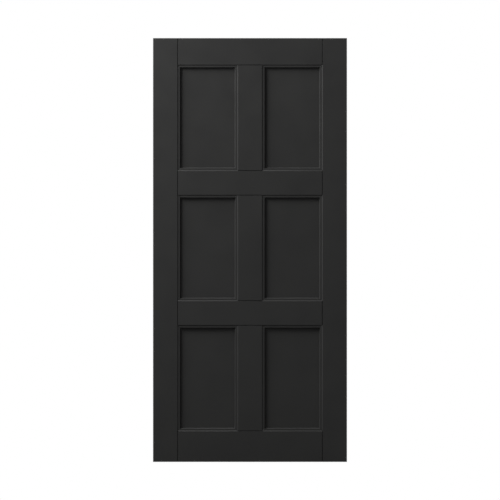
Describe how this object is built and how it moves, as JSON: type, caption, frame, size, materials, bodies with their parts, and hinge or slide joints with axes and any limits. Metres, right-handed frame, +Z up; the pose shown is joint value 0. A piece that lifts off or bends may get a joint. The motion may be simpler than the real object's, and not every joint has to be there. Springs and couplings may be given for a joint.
{
  "type": "panelled front door",
  "caption": "Painted timber door leaf of stiles, rails and muntins round flat recessed panels, with a stepped moulding round each panel.",
  "frame": {"origin": "middle of the leaf's bottom edge, half way through its thickness", "axes": "+X to the right seen from outside, +Y from the outside face to the back, +Z up the leaf"},
  "size_m": [0.915, 0.044, 2],
  "materials": {
    "painted_frame": "satin black paint",
    "painted_panel": "satin black paint",
    "painted_bead": "satin black paint",
    "dowel_beech": "turned and fluted, bare",
    "pin_steel": "bright drawn wire"
  },
  "bodies": {
    "root": {"hinge_stile": "painted_frame", "lock_stile": "painted_frame", "bottom_rail": "painted_frame", "lower_middle_rail": "painted_frame", "upper_middle_rail": "painted_frame", "top_rail": "painted_frame", "lower_muntin": "painted_frame", "middle_muntin": "painted_frame", "upper_muntin": "painted_frame", "lower_left_panel": "painted_panel", "lower_right_panel": "painted_panel", "middle_left_panel": "painted_panel", "middle_right_panel": "painted_panel", "upper_left_panel": "painted_panel", "upper_right_panel": "painted_panel", "lower_left_bead_foot": "painted_bead", "lower_left_bead_left": "painted_bead", "lower_left_bead_head": "painted_bead", "lower_left_bead_right": "painted_bead", "lower_right_bead_foot": "painted_bead", "lower_right_bead_left": "painted_bead", "lower_right_bead_head": "painted_bead", "lower_right_bead_right": "painted_bead", "middle_left_bead_foot": "painted_bead", "middle_left_bead_left": "painted_bead", "middle_left_bead_head": "painted_bead", "middle_left_bead_right": "painted_bead", "middle_right_bead_foot": "painted_bead", "middle_right_bead_left": "painted_bead", "middle_right_bead_head": "painted_bead", "middle_right_bead_right": "painted_bead", "upper_left_bead_foot": "painted_bead", "upper_left_bead_left": "painted_bead", "upper_left_bead_head": "painted_bead", "upper_left_bead_right": "painted_bead", "upper_right_bead_foot": "painted_bead", "upper_right_bead_left": "painted_bead", "upper_right_bead_head": "painted_bead", "upper_right_bead_right": "painted_bead", "rail_dowels": "dowel_beech", "muntin_dowels": "dowel_beech", "bead_pins": "pin_steel"}
  },
  "joints": []
}
